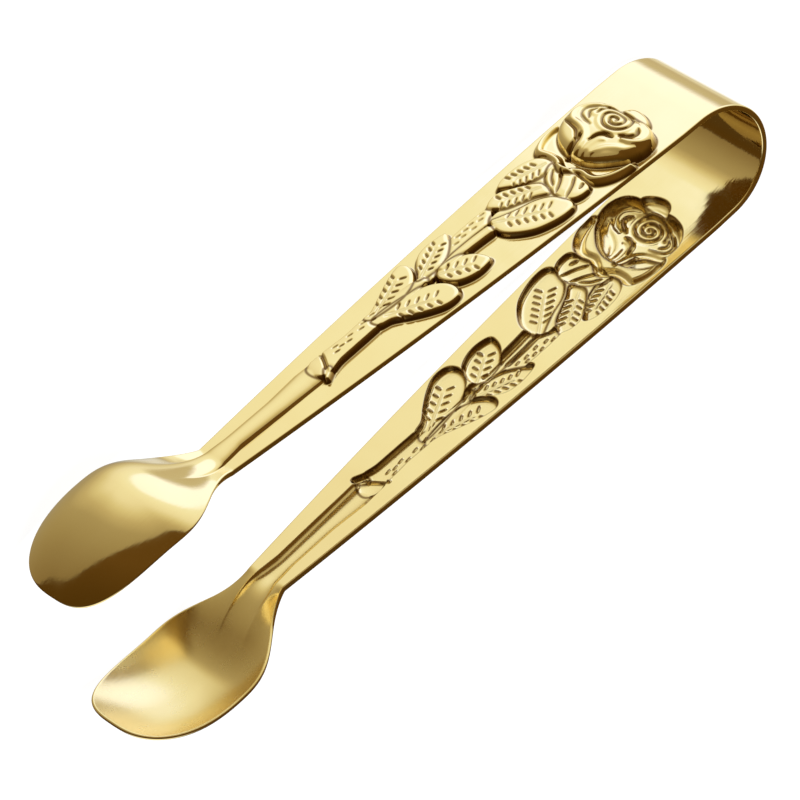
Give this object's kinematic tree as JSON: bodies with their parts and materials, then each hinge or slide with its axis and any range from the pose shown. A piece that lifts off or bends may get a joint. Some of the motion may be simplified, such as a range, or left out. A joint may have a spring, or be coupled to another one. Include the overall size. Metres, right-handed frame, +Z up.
{
  "type": "ice tongs",
  "caption": "Small tongs bent from one polished gold-coloured strip: spring bow, a rose branch pressed into each arm, and a spoon-shaped bowl at each tip.",
  "frame": {"origin": "On the resting surface, under the middle of the tongs' box: the tongs lie on their side on the edges of the bowls.", "axes": "+X from the bow to the bowls, +Y towards the left arm, which opens that way, +Z up across the strip's width."},
  "size_m": [0.11, 0.038, 0.0184],
  "materials": {
    "polished_gold": "polished"
  },
  "bodies": {
    "bow": {"spring_bow": "polished_gold"},
    "right_arm": {"right_shoulder": "polished_gold", "right_rose_panel": "polished_gold", "right_branch_panel": "polished_gold", "right_stem": "polished_gold", "right_bowl": "polished_gold"},
    "left_arm": {"left_shoulder": "polished_gold", "left_rose_panel": "polished_gold", "left_branch_panel": "polished_gold", "left_stem": "polished_gold", "left_bowl": "polished_gold"}
  },
  "joints": [
    {"name": "right_squeeze", "type": "hinge", "parent": "bow", "child": "right_arm", "pos_m": [-0.05173, -0.00503, 0.0092], "axis": [0, 0, 1], "range_deg": [0, 6], "stiffness_Nm_per_rad": 5},
    {"name": "left_squeeze", "type": "hinge", "parent": "bow", "child": "left_arm", "pos_m": [-0.05173, 0.00503, 0.0092], "axis": [0, 0, -1], "range_deg": [0, 6], "stiffness_Nm_per_rad": 5}
  ],
  "couplings": [
    {"joint": "left_squeeze", "follows": "right_squeeze", "ratio": 1}
  ]
}
